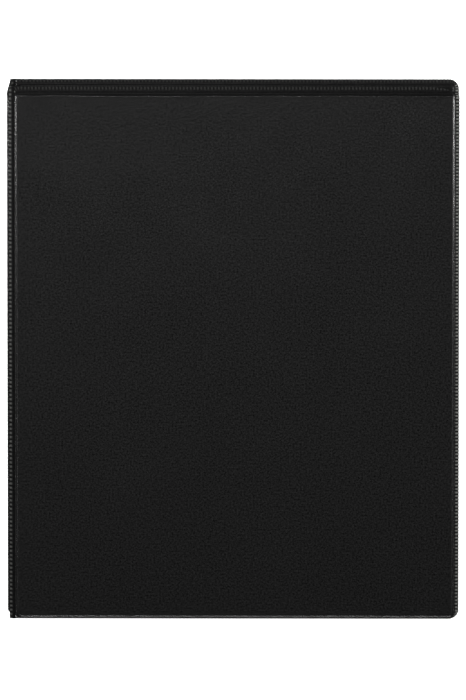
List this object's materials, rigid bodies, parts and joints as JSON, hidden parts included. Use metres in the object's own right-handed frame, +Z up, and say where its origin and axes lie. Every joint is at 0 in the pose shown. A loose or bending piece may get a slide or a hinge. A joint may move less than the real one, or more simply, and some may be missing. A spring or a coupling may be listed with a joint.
{
  "type": "ring binder",
  "caption": "Vinyl-covered ring binder with clear outer pockets, folding at a hinged spine round a lever-opened D-ring mechanism on its back cover.",
  "frame": {"origin": "centre of the closed binder's footprint, on the surface it lies on", "axes": "+X from the spine to the fore edge, +Y from the foot to the head, +Z up from the back cover to the front cover"},
  "size_m": [0.25, 0.297, 0.04],
  "materials": {
    "outer_vinyl": "black vinyl, fine grain, low sheen, ribbed along its welds",
    "inner_vinyl": "black vinyl, smooth, low sheen",
    "clear_film": "clear film, faintly hazy, soft gloss",
    "chipboard": "grey-brown chipboard, matt",
    "nickel_steel": "nickel-plated steel, bright"
  },
  "bodies": {
    "back_cover": {"back_board": "chipboard", "back_outer_vinyl": "outer_vinyl", "back_liner": "inner_vinyl", "back_clear_film": "clear_film", "back_inner_pocket": "inner_vinyl", "back_hinge_strip": "outer_vinyl", "ring_housing": "nickel_steel", "mechanism_rivets": "nickel_steel", "lever_pins": "nickel_steel"},
    "spine": {"spine_board": "chipboard", "spine_outer_vinyl": "outer_vinyl", "spine_liner": "inner_vinyl", "spine_clear_film": "clear_film"},
    "front_cover": {"front_board": "chipboard", "front_outer_vinyl": "outer_vinyl", "front_liner": "inner_vinyl", "front_clear_film": "clear_film", "front_inner_pocket": "inner_vinyl", "front_hinge_strip": "outer_vinyl"},
    "spine_side_rings": {"spine_side_carrier_plate": "nickel_steel", "spine_side_ring_foot": "nickel_steel", "spine_side_ring_middle": "nickel_steel", "spine_side_ring_head": "nickel_steel"},
    "fore_side_rings": {"fore_side_carrier_plate": "nickel_steel", "fore_side_ring_foot": "nickel_steel", "fore_side_ring_middle": "nickel_steel", "fore_side_ring_head": "nickel_steel"},
    "head_lever": {"head_lever": "nickel_steel"},
    "foot_lever": {"foot_lever": "nickel_steel"}
  },
  "joints": [
    {"name": "back_hinge", "type": "hinge", "parent": "back_cover", "child": "spine", "pos_m": [-0.1231, 0, 0.0019], "axis": [0, -1, 0], "range_deg": [0, 90], "deforming": ["back_hinge_strip"]},
    {"name": "front_hinge", "type": "hinge", "parent": "spine", "child": "front_cover", "pos_m": [-0.1231, 0, 0.0381], "axis": [0, -1, 0], "range_deg": [0, 90], "deforming": ["front_hinge_strip"]},
    {"name": "spine_side_rings_open", "type": "hinge", "parent": "back_cover", "child": "spine_side_rings", "pos_m": [-0.1111, 0, 0.0064], "axis": [0, -1, 0], "range_deg": [0, 14]},
    {"name": "fore_side_rings_open", "type": "hinge", "parent": "back_cover", "child": "fore_side_rings", "pos_m": [-0.0929, 0, 0.0064], "axis": [0, 1, 0], "range_deg": [0, 14]},
    {"name": "head_lever_tip", "type": "hinge", "parent": "back_cover", "child": "head_lever", "pos_m": [-0.102, 0.1345, 0.0064], "axis": [-1, 0, 0], "range_deg": [0, 30]},
    {"name": "foot_lever_tip", "type": "hinge", "parent": "back_cover", "child": "foot_lever", "pos_m": [-0.102, -0.1345, 0.0064], "axis": [1, 0, 0], "range_deg": [0, 30]}
  ],
  "couplings": [
    {"joint": "fore_side_rings_open", "follows": "spine_side_rings_open", "ratio": 1},
    {"joint": "head_lever_tip", "follows": "spine_side_rings_open", "ratio": 2.1429},
    {"joint": "foot_lever_tip", "follows": "spine_side_rings_open", "ratio": 2.1429}
  ]
}
